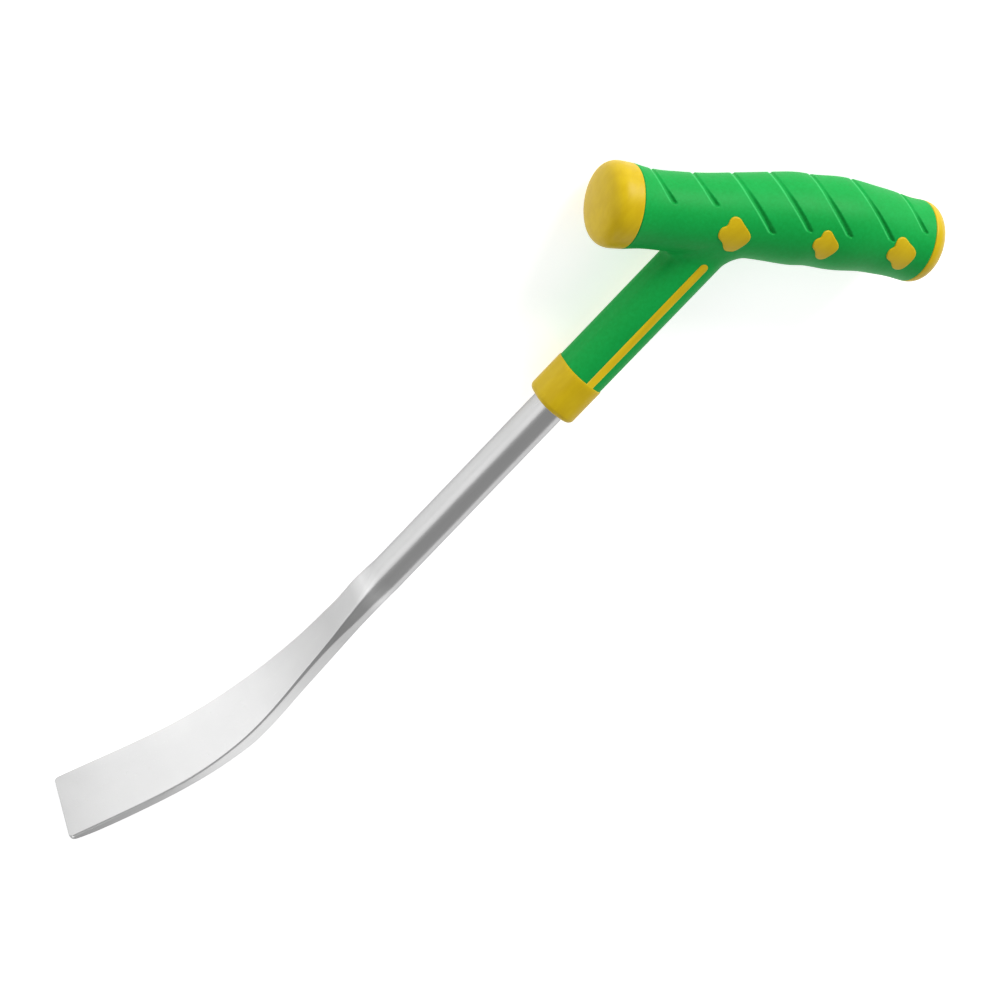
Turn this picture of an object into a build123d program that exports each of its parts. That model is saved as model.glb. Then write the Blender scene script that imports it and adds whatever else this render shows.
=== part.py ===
from build123d import *
import math
import os

# Hand weeder lying on its side. Millimetres.
#   +X runs along the steel shaft, from the blade towards the handle
#   +Y runs across the shaft, towards the thumb end of the crossbar
#   +Z is up; the tool is symmetric about the horizontal plane Z = MID_Z
# The drawing frame has "a" along the shaft axis and "b" across it, with the
# shaft axis at b = 0; A0 and B0 carry it to the centre of the bounding box.

# ---- overall -------------------------------------------------------------
MID_Z = 15.3013          # height of the symmetry plane above the surface it lies on
A0 = 1.7468             # drawing a of the bounding-box centre
B0 = -11.6215           # drawing b of the bounding-box centre

# ---- steel shaft and blade ------------------------------------------------
ROD_R = 6.0           # 12 mm round bar
TANG_END = 112.0      # a of the buried end of the shaft
MOUTH = 42.6          # a of the collar mouth
FORGE_START = -31.0   # a where the round bar begins to be flattened
TANG_FLAT = 4.9       # half distance across the two anti-turn flats
FLAT_FROM, FLAT_TO = 66.0, 80.0
SIDE = 20.0           # degrees by which the lower part of each side leans in
# forged stations: a and b of the face, lean from the shaft axis in degrees,
# full width, thickness, height of the upright part of the side, then the
# radii at the face edge, where the side starts to lean, and at the back
BLADE = [
    (-31.0, 5.90, 0.0, 11.80, 11.80, 6.94, 5.80, 5.80, 5.80),
    (-35.0, 5.90, 0.0, 11.92, 11.86, 6.90, 5.65, 5.80, 5.80),
    (-40.0, 5.45, 0.0, 12.00, 11.30, 6.20, 4.00, 5.60, 5.60),
    (-46.0, 4.70, -3.0, 12.00, 10.40, 5.10, 2.00, 5.00, 5.20),
    (-53.0, 3.84, -4.5, 12.10, 9.30, 4.10, 1.10, 4.00, 4.60),
    (-62.0, 3.23, -3.0, 13.70, 8.30, 2.40, 0.60, 2.40, 3.60),
    (-71.0, 2.95, -0.6, 15.50, 7.65, 1.50, 0.45, 1.30, 2.80),
    (-79.5, 2.98, 0.8, 17.70, 7.00, 1.20, 0.40, 1.00, 2.20),
    (-88.3, 3.20, 2.6, 20.60, 6.45, 1.00, 0.35, 0.90, 1.80),
    (-96.7, 3.75, 5.4, 23.40, 6.40, 0.90, 0.35, 0.80, 1.50),
    (-105.3, 4.85, 9.4, 25.80, 6.50, 0.85, 0.35, 0.80, 1.40),
    (-113.4, 6.50, 13.4, 27.40, 5.84, 0.80, 0.35, 0.70, 1.30),
    (-121.4, 8.72, 17.2, 28.60, 5.24, 0.80, 0.35, 0.70, 1.20),
    (-129.2, 11.45, 20.8, 29.40, 4.75, 0.80, 0.35, 0.70, 1.20),
    (-136.7, 14.65, 23.8, 29.90, 4.55, 0.80, 0.30, 0.70, 1.10),
    (-144.0, 18.12, 25.6, 30.20, 4.45, 0.80, 0.30, 0.70, 1.00),
    (-151.3, 21.78, 26.5, 30.40, 4.40, 0.80, 0.30, 0.60, 0.90),
    (-158.5, 25.48, 26.8, 30.55, 4.10, 0.85, 0.30, 0.60, 0.80),
    (-163.5, 28.00, 26.7, 30.60, 3.40, 0.90, 0.30, 0.60, 0.70),
    (-167.2, 29.87, 26.6, 30.60, 2.40, 0.90, 0.25, 0.50, 0.50),
]
TIP_CORNER_R = 1.6

# ---- crossbar: centre line and body radius --------------------------------
BAR_LINE = [(43.5, 101.15), (30.0, 108.35), (15.0, 117.0), (0.0, 126.95),
            (-15.0, 136.6), (-30.0, 145.35), (-45.0, 152.9), (-56.0, 157.4),
            (-66.0, 161.8)]                       # (b, a)
THUMB_RIM = 13.35     # arc length along the centre line to the thumb cap
# arc length from the thumb cap to the station, radius of the body there
BAR_R = [(0.0, 13.35), (7.0, 12.45), (15.0, 12.45), (25.0, 12.60), (37.0, 13.16),
         (45.0, 13.70), (53.0, 14.40), (59.0, 14.72), (64.0, 14.50), (71.0, 14.85),
         (77.0, 14.80), (85.0, 14.05), (93.0, 13.60), (98.5, 13.30), (104.3, 13.50)]
SKIN = 2.8            # thickness of the soft sleeve on the crossbar
CAVITY_R = 6.8        # hollow through the core of the crossbar
SPIGOT_R = 7.2
SPIGOT_LEN = 9.0
# caps: (distance out from the rim, radius), then the height of the end
THUMB_PROFILE = [(0.0, 13.35), (2.0, 13.45), (4.2, 13.55), (6.6, 13.15), (8.6, 11.70),
                 (9.75, 9.40), (10.4, 6.0)]
THUMB_CROWN = 10.8
REAR_PROFILE = [(0.0, 13.50), (1.8, 13.42), (4.0, 12.40), (5.6, 10.5),
                (6.5, 7.6), (6.95, 4.6)]
REAR_CROWN = 7.2
RISE = 0.35           # the yellow marks stand this far proud of the sleeve

# ---- stem and collar: rounded rectangles, (across Z, across Y, corner) -------
STEM = (17.4, 15.7, 6.7)
STEM_CORE = (15.0, 13.9, 6.2)
COLLAR = (18.0, 16.3, 7.0)
COLLAR_ROUND = 1.9
SLEEVE_START = 57.2
STEM_TOP = 124.0      # the stem runs this far, inside the crossbar
RIB_W = 3.1
RIB_END = 110.6
RIB_RISE = 0.2
JUNCTION_R = 4.0

# ---- hidden cross pin -----------------------------------------------------
PIN_R = 1.5
PIN_AT = 90.0

# ---- petal marks: centre (a, b), size factor, turn --------------------------
PETALS = [(123.4, 3.1, 1.0, 0.0), (139.8, -23.9, 0.85, -2.0), (153.7, -49.1, 0.97, 8.0)]
# one lobed outline, as (a, b) about its centre
PETAL = [(4.6, 4.3), (5.2, 2.4), (4.6, 0.2), (4.1, -2.2), (3.1, -4.3), (1.2, -5.2),
         (-1.6, -5.3), (-4.2, -5.0), (-5.5, -3.3), (-5.2, -1.0), (-4.1, 1.2),
         (-3.7, 3.6), (-2.4, 5.2), (-0.5, 5.5), (1.0, 4.7), (2.9, 5.1)]


def pt(a, b, z=0.0):
    return (a - A0, b - B0, MID_Z + z)


# ==========================================================================
# centre line of the crossbar
with BuildLine() as bar_line:
    Spline(*[pt(a, b) for b, a in BAR_LINE])
bar_wire = bar_line.edges()[0]
bar_length = bar_wire.length
print("centre line length", round(bar_length, 3))


def bar_plane(s):
    """section plane s millimetres from the thumb cap; local x lies in the
    symmetry plane and points to the shaft side, local y is -Z"""
    t = (THUMB_RIM + s) / bar_length
    o = bar_wire.position_at(t)
    d = bar_wire.tangent_at(t)
    return Plane(origin=(o.X, o.Y, o.Z), x_dir=(d.Y, -d.X, 0), z_dir=(d.X, d.Y, 0))


BAR_SPAN = BAR_R[-1][0]

# ==========================================================================
# steel shaft, forged into the flared and bent blade
with BuildPart() as blade_shaft:
    # round bar and buried tang
    with BuildSketch(Plane(origin=pt(FORGE_START, 0), x_dir=(0, 0, 1), z_dir=(1, 0, 0))):
        Circle(ROD_R)
    extrude(amount=TANG_END - FORGE_START)
    chamfer(blade_shaft.faces().sort_by(Axis.X)[-1].edges(), 0.8)
    # two anti-turn flats inside the handle
    for side in (1, -1):
        with BuildSketch(Plane.XY.offset(MID_Z - 7)):
            with Locations(((FLAT_FROM + FLAT_TO) / 2 - A0, -B0 + side * (TANG_FLAT + 2))):
                Rectangle(FLAT_TO - FLAT_FROM, 4)
        extrude(amount=14, mode=Mode.SUBTRACT)
    # forged stations, from the round bar to the tip
    for a, b, lean, w, t, v, rf, rs, rb in BLADE:
        th = math.radians(lean)
        along = (-math.cos(th), math.sin(th), 0)
        back = (-math.sin(th), -math.cos(th), 0)
        o = pt(a, b)
        c = (o[0] + back[0] * t / 2, o[1] + back[1] * t / 2, o[2])
        # the straight parts of the outline never shrink to nothing
        lean_in = math.radians(SIDE)
        k2, k3 = math.tan(lean_in / 2), math.tan((math.pi / 2 - lean_in) / 2)
        foot = w / 2 - (t - v) * math.tan(lean_in)
        slant = (t - v) / math.cos(lean_in)
        rf = min(rf, w / 2 - 0.05)
        rs = min(rs, (v - rf - 0.04) / k2)
        rb = min(rb, (slant - rs * k2 - 0.04) / k3, (foot - 0.04) / k3)
        # local x is +Z, local y points from the back to the face
        with BuildSketch(Plane(origin=c, x_dir=(0, 0, 1), z_dir=along)) as section:
            with BuildLine():
                Polyline((w / 2, t / 2), (w / 2, t / 2 - v), (foot, -t / 2), (-foot, -t / 2),
                         (-w / 2, t / 2 - v), (-w / 2, t / 2), close=True)
            make_face()
            for level, radius in ((t / 2, rf), (t / 2 - v, rs), (-t / 2, rb)):
                fillet(section.vertices().filter_by_position(Axis.Y, level - 0.01, level + 0.01), radius)
    loft()
    # rounded tip corners
    th = math.radians(BLADE[-1][2])
    o = pt(BLADE[-1][0], BLADE[-1][1])
    tip_plane = Plane(origin=o, x_dir=(0, 0, 1), z_dir=(math.sin(th), math.cos(th), 0))
    half = BLADE[-1][3] / 2
    for side in (1, -1):
        with BuildSketch(tip_plane):
            with Locations((side * (half - TIP_CORNER_R / 2 + 0.5), -TIP_CORNER_R / 2 + 0.5)):
                Rectangle(TIP_CORNER_R + 1, TIP_CORNER_R + 1)
            with Locations((side * (half - TIP_CORNER_R), -TIP_CORNER_R)):
                Circle(TIP_CORNER_R, mode=Mode.SUBTRACT)
        extrude(amount=3, both=True, mode=Mode.SUBTRACT)

# ==========================================================================
# hidden cross pin, its ends flush with the stem of the core
with BuildPart() as tang_pin:
    with BuildSketch(Plane(origin=pt(PIN_AT, -STEM_CORE[1] / 2), x_dir=(1, 0, 0), z_dir=(0, 1, 0))):
        Circle(PIN_R)
    extrude(amount=STEM_CORE[1])

with BuildPart() as pin_bore:
    with BuildSketch(Plane(origin=pt(PIN_AT, -STEM_CORE[1] / 2 - 1), x_dir=(1, 0, 0), z_dir=(0, 1, 0))):
        Circle(PIN_R)
    extrude(amount=STEM_CORE[1] + 2)

with BuildPart() as shaft_drilled:
    add(blade_shaft.part)
    add(tang_pin.part, mode=Mode.SUBTRACT)

# ==========================================================================
# end caps
thumb_plane = bar_plane(0.0)
rear_plane = bar_plane(BAR_SPAN)


def turned(profile, plane, outward):
    """solid turned about the bar axis at one end; profile is (distance out
    from the rim, radius) and starts with the spigot inside the core"""
    o = plane.origin
    d = plane.z_dir * outward
    r = plane.x_dir
    def at(q):
        v = o + d * q[0] + r * q[1]
        return (v.X, v.Y, v.Z)
    return [at(q) for q in profile], (o.X, o.Y, o.Z), (d.X, d.Y, d.Z)


def cap_solid(plane, outward, shoulder, crown, leave):
    """shoulder: (distance, radius) points of the rounded side; crown: height
    of the end at the axis; leave: direction of the side at the rim"""
    sh, o, d = turned(shoulder, plane, outward)
    sp, _, _ = turned([(-SPIGOT_LEN, 0), (-SPIGOT_LEN, SPIGOT_R), (0, SPIGOT_R)], plane, outward)
    (tip,), _, _ = turned([(crown, 0.0)], plane, outward)
    with BuildPart() as solid:
        with BuildSketch(Plane(origin=o, x_dir=d, z_dir=plane.y_dir * -outward)) as prof:
            with BuildLine():
                Polyline((-SPIGOT_LEN, 0), (-SPIGOT_LEN, SPIGOT_R), (0, SPIGOT_R), shoulder[0])
                Spline(*shoulder, (crown, 0.0), tangents=(leave, (0.0, -1.0)))
                Line((crown, 0.0), (-SPIGOT_LEN, 0))
            make_face()
        revolve(axis=Axis(o, d))
    return solid.part


thumb_part = cap_solid(thumb_plane, -1, THUMB_PROFILE, THUMB_CROWN, (0.12, 1.0))
rear_part = cap_solid(rear_plane, 1, REAR_PROFILE, REAR_CROWN, (1.0, 0.05))
with BuildPart() as thumb_cap:
    add(thumb_part)
with BuildPart() as rear_cap:
    add(rear_part)

# ==========================================================================
# outside of the soft sleeve: crossbar body and stem, blended together
with BuildPart() as body:
    for s, r in BAR_R:
        with BuildSketch(bar_plane(s)):
            with BuildLine():
                CenterArc((0, 0), r, 0, 180)
                CenterArc((0, 0), r, 180, 180)
            make_face()
    loft()
    with BuildSketch(Plane(origin=pt(SLEEVE_START, 0), x_dir=(0, 0, 1), z_dir=(1, 0, 0))):
        RectangleRounded(*STEM)
    extrude(amount=STEM_TOP - SLEEVE_START)
    lo, hi = pt(92.0, 0)[0], pt(135.0, 0)[0]
    seam = [e for e in body.edges()
            if lo < e.center().X < hi and abs(e.center().Y + B0) < 11.5
            and e.geom_type != GeomType.LINE]
    print("seam edges", len(seam), [round(e.length, 1) for e in seam])
    fillet(seam, JUNCTION_R)
print("body", body.part.is_valid, round(body.part.volume))


# ==========================================================================
# hard core: tee, exposed collar, side ribs and the raised petal marks
with BuildPart() as proud:
    for s, r in BAR_R:
        with BuildSketch(bar_plane(s)):
            with BuildLine():
                CenterArc((0, 0), r + RISE, 0, 180)
                CenterArc((0, 0), r + RISE, 180, 180)
            make_face()
    loft()

with BuildPart() as petal_posts:
    for a, b, k, turn in PETALS:
        c, sn = math.cos(math.radians(turn)), math.sin(math.radians(turn))
        ring = [((a + k * (p * c - q * sn)) - A0, (b + k * (p * sn + q * c)) - B0)
                for p, q in PETAL]
        with BuildSketch(Plane.XY.offset(MID_Z)):
            with BuildLine():
                Spline(*ring, periodic=True)
            make_face()
        extrude(amount=18, both=True)

with BuildPart() as petals:
    add(petal_posts.part)
    add(proud.part, mode=Mode.INTERSECT)

with BuildPart() as bar_core:
    for s, r in BAR_R:
        with BuildSketch(bar_plane(s)):
            with BuildLine():
                CenterArc((0, 0), r - SKIN, 0, 180)
                CenterArc((0, 0), r - SKIN, 180, 180)
            make_face()
    loft()

with BuildPart() as stem_core:
    with BuildSketch(Plane(origin=pt(SLEEVE_START - 2, 0), x_dir=(0, 0, 1), z_dir=(1, 0, 0))):
        RectangleRounded(*STEM_CORE)
    extrude(amount=STEM_TOP - SLEEVE_START + 2)

with BuildPart() as side_ribs:
    with BuildSketch(Plane.XY.offset(MID_Z)):
        with Locations((pt((SLEEVE_START - 3 + RIB_END) / 2, 0)[0], -B0)):
            SlotOverall(RIB_END - SLEEVE_START + 3, RIB_W)
    extrude(amount=STEM[0] / 2 + RIB_RISE, both=True)

with BuildPart() as hollow:
    for s in (-0.6, 20.0, 40.0, 60.0, 80.0, BAR_SPAN + 0.6):
        with BuildSketch(bar_plane(s)):
            with BuildLine():
                CenterArc((0, 0), CAVITY_R, 0, 180)
                CenterArc((0, 0), CAVITY_R, 180, 180)
            make_face()
    loft()

with BuildPart() as core_solid:
    # collar
    with BuildSketch(Plane(origin=pt(MOUTH, 0), x_dir=(0, 0, 1), z_dir=(1, 0, 0))):
        RectangleRounded(*COLLAR)
    extrude(amount=SLEEVE_START - MOUTH)
    fillet(core_solid.faces().sort_by(Axis.X)[0].edges(), COLLAR_ROUND)
    add(stem_core.part)
    add(bar_core.part)
    add(side_ribs.part)
    add(petals.part)
print("core solid", core_solid.part.is_valid, len(core_solid.part.solids()), round(core_solid.part.volume))

with BuildPart() as handle_core:
    add(core_solid.part)
    # hollow crossbar with a counterbore for each cap
    add(hollow.part, mode=Mode.SUBTRACT)
    add(thumb_cap.part, mode=Mode.SUBTRACT)
    add(rear_cap.part, mode=Mode.SUBTRACT)
    add(blade_shaft.part, mode=Mode.SUBTRACT)
    add(pin_bore.part, mode=Mode.SUBTRACT)
print("core", handle_core.part.is_valid, len(handle_core.part.solids()), round(handle_core.part.volume))

# ==========================================================================
# soft sleeve: the outside less everything it was moulded over
with BuildPart() as grip_sleeve:
    add(body.part)
    add(petal_posts.part, mode=Mode.SUBTRACT)
    add(bar_core.part, mode=Mode.SUBTRACT)
    add(stem_core.part, mode=Mode.SUBTRACT)
    add(side_ribs.part, mode=Mode.SUBTRACT)
print("sleeve", grip_sleeve.part.is_valid, len(grip_sleeve.part.solids()), round(grip_sleeve.part.volume))

# ==========================================================================
os.makedirs("parts", exist_ok=True)
pieces = {
    "blade_shaft": shaft_drilled,
    "tang_pin": tang_pin,
    "handle_core": handle_core,
    "grip_sleeve": grip_sleeve,
    "thumb_cap": thumb_cap,
    "rear_cap": rear_cap,
}
lo = [1e9] * 3
hi = [-1e9] * 3
for label, piece in pieces.items():
    piece.part.label = label
    export_step(piece.part, "parts/" + label + ".step")
    bb = piece.part.bounding_box()
    lo = [min(lo[0], bb.min.X), min(lo[1], bb.min.Y), min(lo[2], bb.min.Z)]
    hi = [max(hi[0], bb.max.X), max(hi[1], bb.max.Y), max(hi[2], bb.max.Z)]
print("box", [round(v, 3) for v in lo], [round(v, 3) for v in hi])
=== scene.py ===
import math

import bpy
import numpy as np
from mathutils import Matrix, Vector


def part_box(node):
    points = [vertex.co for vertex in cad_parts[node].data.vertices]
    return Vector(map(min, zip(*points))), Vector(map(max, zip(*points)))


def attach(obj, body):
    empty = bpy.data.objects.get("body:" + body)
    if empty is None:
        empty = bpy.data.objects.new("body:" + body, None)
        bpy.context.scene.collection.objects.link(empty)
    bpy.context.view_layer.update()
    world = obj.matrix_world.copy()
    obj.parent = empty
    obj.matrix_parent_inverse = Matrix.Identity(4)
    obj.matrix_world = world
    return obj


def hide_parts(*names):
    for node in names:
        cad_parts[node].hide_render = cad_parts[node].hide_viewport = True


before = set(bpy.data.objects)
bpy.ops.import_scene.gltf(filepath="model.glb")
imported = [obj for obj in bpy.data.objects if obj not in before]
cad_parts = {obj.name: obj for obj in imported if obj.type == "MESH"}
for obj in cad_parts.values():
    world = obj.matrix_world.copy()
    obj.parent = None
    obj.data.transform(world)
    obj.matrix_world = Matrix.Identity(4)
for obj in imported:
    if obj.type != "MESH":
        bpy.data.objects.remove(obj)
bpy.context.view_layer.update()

# ===========================================================================
# Drawing frame. Millimetres in here, metres in the meshes. "a" runs along the
# shaft, "b" across it towards the thumb end, "z" up from the symmetry plane.
# The hidden cross pin sits on the shaft axis at a = 90, so it places the frame.
# ===========================================================================
pin_lo, pin_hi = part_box("tang_pin")
AX = 90.0 - 500.0 * (pin_lo.x + pin_hi.x)
BY = -500.0 * (pin_lo.y + pin_hi.y)
MID = 500.0 * (pin_lo.z + pin_hi.z)


def natural_spline(t, v, tq):
    """natural cubic spline through v(t), and its slope, at tq; straight outside"""
    t, v, tq = np.asarray(t, float), np.asarray(v, float), np.asarray(tq, float)
    n = len(t)
    h = np.diff(t)
    m = np.zeros((n, n))
    rhs = np.zeros((n,) + v.shape[1:])
    m[0, 0] = m[-1, -1] = 1.0
    for i in range(1, n - 1):
        m[i, i - 1], m[i, i], m[i, i + 1] = h[i - 1], 2 * (h[i - 1] + h[i]), h[i]
        rhs[i] = 6 * ((v[i + 1] - v[i]) / h[i] - (v[i] - v[i - 1]) / h[i - 1])
    k = np.linalg.solve(m, rhs)
    i = np.clip(np.searchsorted(t, tq) - 1, 0, n - 2)
    tc = np.clip(tq, t[0], t[-1])
    shape = (-1,) + (1,) * (v.ndim - 1)
    hi_, a_, b_ = h[i].reshape(shape), (t[i + 1] - tc).reshape(shape), (tc - t[i]).reshape(shape)
    val = (k[i] * a_ ** 3 + k[i + 1] * b_ ** 3) / (6 * hi_) \
        + (v[i] / hi_ - k[i] * hi_ / 6) * a_ + (v[i + 1] / hi_ - k[i + 1] * hi_ / 6) * b_
    slope = (-k[i] * a_ ** 2 + k[i + 1] * b_ ** 2) / (2 * hi_) \
        + (v[i + 1] - v[i]) / hi_ - (k[i + 1] - k[i]) * hi_ / 6
    return val + slope * (tq - tc).reshape(shape), slope


def monotone(t, v, tq):
    """shape-keeping cubic through v(t), for thicknesses and radii"""
    t, v, tq = np.asarray(t, float), np.asarray(v, float), np.asarray(tq, float)
    h = np.diff(t)
    d = np.diff(v) / h
    m = np.zeros_like(v)
    for i in range(1, len(t) - 1):
        if d[i - 1] * d[i] > 0:
            w1, w2 = 2 * h[i] + h[i - 1], h[i] + 2 * h[i - 1]
            m[i] = (w1 + w2) / (w1 / d[i - 1] + w2 / d[i])
    m[0], m[-1] = d[0], d[-1]
    i = np.clip(np.searchsorted(t, tq) - 1, 0, len(t) - 2)
    x = np.clip((tq - t[i]) / h[i], 0, 1)
    return (v[i] * (2 * x ** 3 - 3 * x ** 2 + 1) + m[i] * h[i] * (x ** 3 - 2 * x ** 2 + x)
            + v[i + 1] * (3 * x ** 2 - 2 * x ** 3) + m[i + 1] * h[i] * (x ** 3 - x ** 2))


# ---- mesh helpers -----------------------------------------------------------
def new_mesh(name, verts, faces, smooth=True):
    """faces: list or array of equal or mixed loops; verts in millimetres"""
    me = bpy.data.meshes.new(name)
    verts = np.asarray(verts, float) / 1000.0
    if isinstance(faces, np.ndarray):
        n, k = faces.shape
        me.vertices.add(len(verts))
        me.vertices.foreach_set("co", verts.astype(np.float32).ravel())
        me.loops.add(n * k)
        me.loops.foreach_set("vertex_index", faces.astype(np.int32).ravel())
        me.polygons.add(n)
        me.polygons.foreach_set("loop_start", np.arange(0, n * k, k, dtype=np.int32))
        me.update(calc_edges=True)
    else:
        me.from_pydata(verts.tolist(), [], faces)
    me.validate()
    me.polygons.foreach_set("use_smooth", [smooth] * len(me.polygons))
    me.update()
    ob = bpy.data.objects.new(name, me)
    bpy.context.scene.collection.objects.link(ob)
    return ob


def tube(name, rings, closed=False, smooth=True):
    """skin over equal rings of points, with a fan of rings as the end caps"""
    rings = np.asarray(rings, float)
    m, n = rings.shape[:2]
    verts = rings.reshape(-1, 3)
    i, j = np.meshgrid(np.arange(m - 1), np.arange(n), indexing="ij")
    a = (i * n + j).ravel()
    b = (i * n + (j + 1) % n).ravel()
    c = ((i + 1) * n + (j + 1) % n).ravel()
    d = ((i + 1) * n + j).ravel()
    faces = np.stack([a, b, c, d], 1).tolist()
    verts = list(map(tuple, verts))
    for k, flip in ((0, True), (m - 1, False)):
        centre = len(verts)
        verts.append(tuple(rings[k].mean(0)))
        for q in range(n):
            e, f = k * n + q, k * n + (q + 1) % n
            faces.append((f, e, centre) if flip else (e, f, centre))
    return new_mesh(name, verts, faces, smooth)


def outward(ob):
    """turns the faces of a closed mesh outwards"""
    me = ob.data
    co = np.zeros(len(me.vertices) * 3)
    me.vertices.foreach_get("co", co)
    co = co.reshape(-1, 3)
    me.calc_loop_triangles()
    tri = np.zeros(len(me.loop_triangles) * 3, np.int32)
    me.loop_triangles.foreach_get("vertices", tri)
    a, b, c = (co[tri.reshape(-1, 3)[:, k]] for k in range(3))
    if np.einsum("ij,ij->i", a, np.cross(b, c)).sum() < 0:
        me.flip_normals()
    return ob


def apply_all(ob):
    dg = bpy.context.evaluated_depsgraph_get()
    me = bpy.data.meshes.new_from_object(ob.evaluated_get(dg), depsgraph=dg)
    ob.modifiers.clear()
    old = ob.data
    ob.data = me
    bpy.data.meshes.remove(old)
    return ob


def boolean(ob, other, kind, keep=False):
    m = ob.modifiers.new("cut", "BOOLEAN")
    m.operation, m.object, m.solver = kind, other, "MANIFOLD"
    apply_all(ob)
    if not keep:
        bpy.data.objects.remove(other)
    return ob


def duplicate(ob, name):
    d = bpy.data.objects.new(name, ob.data.copy())
    bpy.context.scene.collection.objects.link(d)
    return d


# ---- distance fields --------------------------------------------------------
def union_round(a, b, r):
    u, v = np.maximum(r - a, 0), np.maximum(r - b, 0)
    return np.maximum(r, np.minimum(a, b)) - np.sqrt(u * u + v * v)


def cut_round(a, b, r):
    """intersection of two fields with a rounded edge"""
    u, v = np.maximum(r + a, 0), np.maximum(r + b, 0)
    return np.minimum(-r, np.maximum(a, b)) + np.sqrt(u * u + v * v)


def rounded_rect(x, y, wx, wy, r):
    qx, qy = np.abs(x) - (wx / 2 - r), np.abs(y) - (wy / 2 - r)
    return np.hypot(np.maximum(qx, 0), np.maximum(qy, 0)) + np.minimum(np.maximum(qx, qy), 0) - r


def skin_of(f, lo, hi, h, block=6, name="skin"):
    """closed quad mesh on the zero level of f inside the box lo..hi, at pitch h"""
    lo = np.array(lo, float)
    n = np.ceil((np.array(hi, float) - lo) / h).astype(int)
    nb = -(-n // block)
    n = nb * block + 1
    centres = np.stack(np.meshgrid(*[(np.arange(k) + 0.5) * block * h for k in nb], indexing="ij"), -1)
    fc = evaluate(f, centres.reshape(-1, 3) + lo).reshape(nb)
    near = np.abs(fc) < block * h * 1.15 + 0.4
    sign = np.where(fc < 0, -1.0, 1.0).astype(np.float32)
    for ax in range(3):
        near_, sign = (near if ax == 0 else near_), np.repeat(sign, block, ax)
    mask = near
    for ax in range(3):
        mask = np.repeat(mask, block, ax)
    val = np.ones(n, np.float32)
    val[:-1, :-1, :-1] = sign
    act = np.zeros(n, bool)
    for dx in (0, 1):
        for dy in (0, 1):
            for dz in (0, 1):
                act[dx:n[0] - 1 + dx, dy:n[1] - 1 + dy, dz:n[2] - 1 + dz] |= mask
    where = np.argwhere(act)
    val[act] = evaluate(f, where * h + lo)
    inside = val < 0
    count = np.zeros(n - 1, np.uint8)
    corners = [(x, y, z) for x in (0, 1) for y in (0, 1) for z in (0, 1)]
    for x, y, z in corners:
        count += inside[x:n[0] - 1 + x, y:n[1] - 1 + y, z:n[2] - 1 + z]
    mixed = (count > 0) & (count < 8)
    cells = np.argwhere(mixed)
    number = np.full(n - 1, -1, np.int32)
    number[mixed] = np.arange(len(cells))
    cv = np.stack([val[cells[:, 0] + x, cells[:, 1] + y, cells[:, 2] + z] for x, y, z in corners], 1)
    pos, hits = np.zeros((len(cells), 3)), np.zeros(len(cells))
    for p in range(8):
        for q in range(p + 1, 8):
            cp, cq = np.array(corners[p]), np.array(corners[q])
            if np.abs(cp - cq).sum() != 1:
                continue
            va, vb = cv[:, p], cv[:, q]
            m = (va < 0) != (vb < 0)
            t = va[m] / (va[m] - vb[m])
            pos[m] += cp + t[:, None] * (cq - cp)
            hits[m] += 1
    verts = (cells + pos / hits[:, None]) * h + lo
    quads = []
    for ax in range(3):
        u, v = (ax + 1) % 3, (ax + 2) % 3
        sl0, sl1 = [slice(None)] * 3, [slice(None)] * 3
        sl0[ax], sl1[ax] = slice(0, n[ax] - 1), slice(1, n[ax])
        a, b = inside[tuple(sl0)], inside[tuple(sl1)]
        e = np.argwhere(a != b)
        up = a[e[:, 0], e[:, 1], e[:, 2]]
        ring = []
        for du, dv in ((-1, -1), (0, -1), (0, 0), (-1, 0)):
            c = e.copy()
            c[:, u] += du
            c[:, v] += dv
            ring.append(number[c[:, 0], c[:, 1], c[:, 2]])
        ring = np.stack(ring, 1)
        ring[~up] = ring[~up][:, ::-1]
        quads.append(ring)
    quads = np.concatenate(quads)
    verts = settle(f, verts, quads, h)
    return new_mesh(name, verts, quads)


def evaluate(f, p, step=250000):
    out = np.empty(len(p), np.float32)
    for i in range(0, len(p), step):
        out[i:i + step] = f(p[i:i + step])
    return out


def settle(f, v, quads, h, rounds=3):
    """evens the mesh out and puts every vertex on the surface"""
    edges = np.concatenate([quads[:, [0, 1]], quads[:, [1, 2]], quads[:, [2, 3]], quads[:, [3, 0]]])
    n = len(v)
    e = 0.02
    for k in range(rounds + 2):
        if k < rounds:
            acc = np.stack([np.bincount(edges[:, 0], v[edges[:, 1], c], n)
                            + np.bincount(edges[:, 1], v[edges[:, 0], c], n) for c in range(3)], 1)
            deg = np.bincount(edges[:, 0], minlength=n) + np.bincount(edges[:, 1], minlength=n)
            v = v * 0.5 + 0.5 * acc / deg[:, None]
        g = np.stack([(evaluate(f, v + d) - evaluate(f, v - d)) / (2 * e) for d in np.eye(3) * e], 1)
        w = evaluate(f, v)
        step = w[:, None] * g / np.maximum((g * g).sum(1), 0.2)[:, None]
        size = np.linalg.norm(step, axis=1)
        step *= np.minimum(1, 0.6 * h / np.maximum(size, 1e-9))[:, None]
        v = v - step
    return v


# ===========================================================================
# Crossbar: centre line, radius and local coordinates
# ===========================================================================
BAR_LINE = np.array([(101.15, 43.5), (108.35, 30.0), (117.0, 15.0), (126.95, 0.0),
                     (136.6, -15.0), (145.35, -30.0), (152.9, -45.0), (157.4, -56.0),
                     (161.8, -66.0)])                       # (a, b)
THUMB_RIM = 13.35
BAR_R = np.array([(0.0, 13.35), (7.0, 12.45), (15.0, 12.45), (25.0, 12.60), (37.0, 13.16),
                  (45.0, 13.70), (53.0, 14.40), (59.0, 14.72), (64.0, 14.50), (71.0, 14.85),
                  (77.0, 14.80), (85.0, 14.05), (93.0, 13.60), (98.5, 13.30), (104.3, 13.50)])
SPAN = 104.3
SKIN = 2.8

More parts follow.
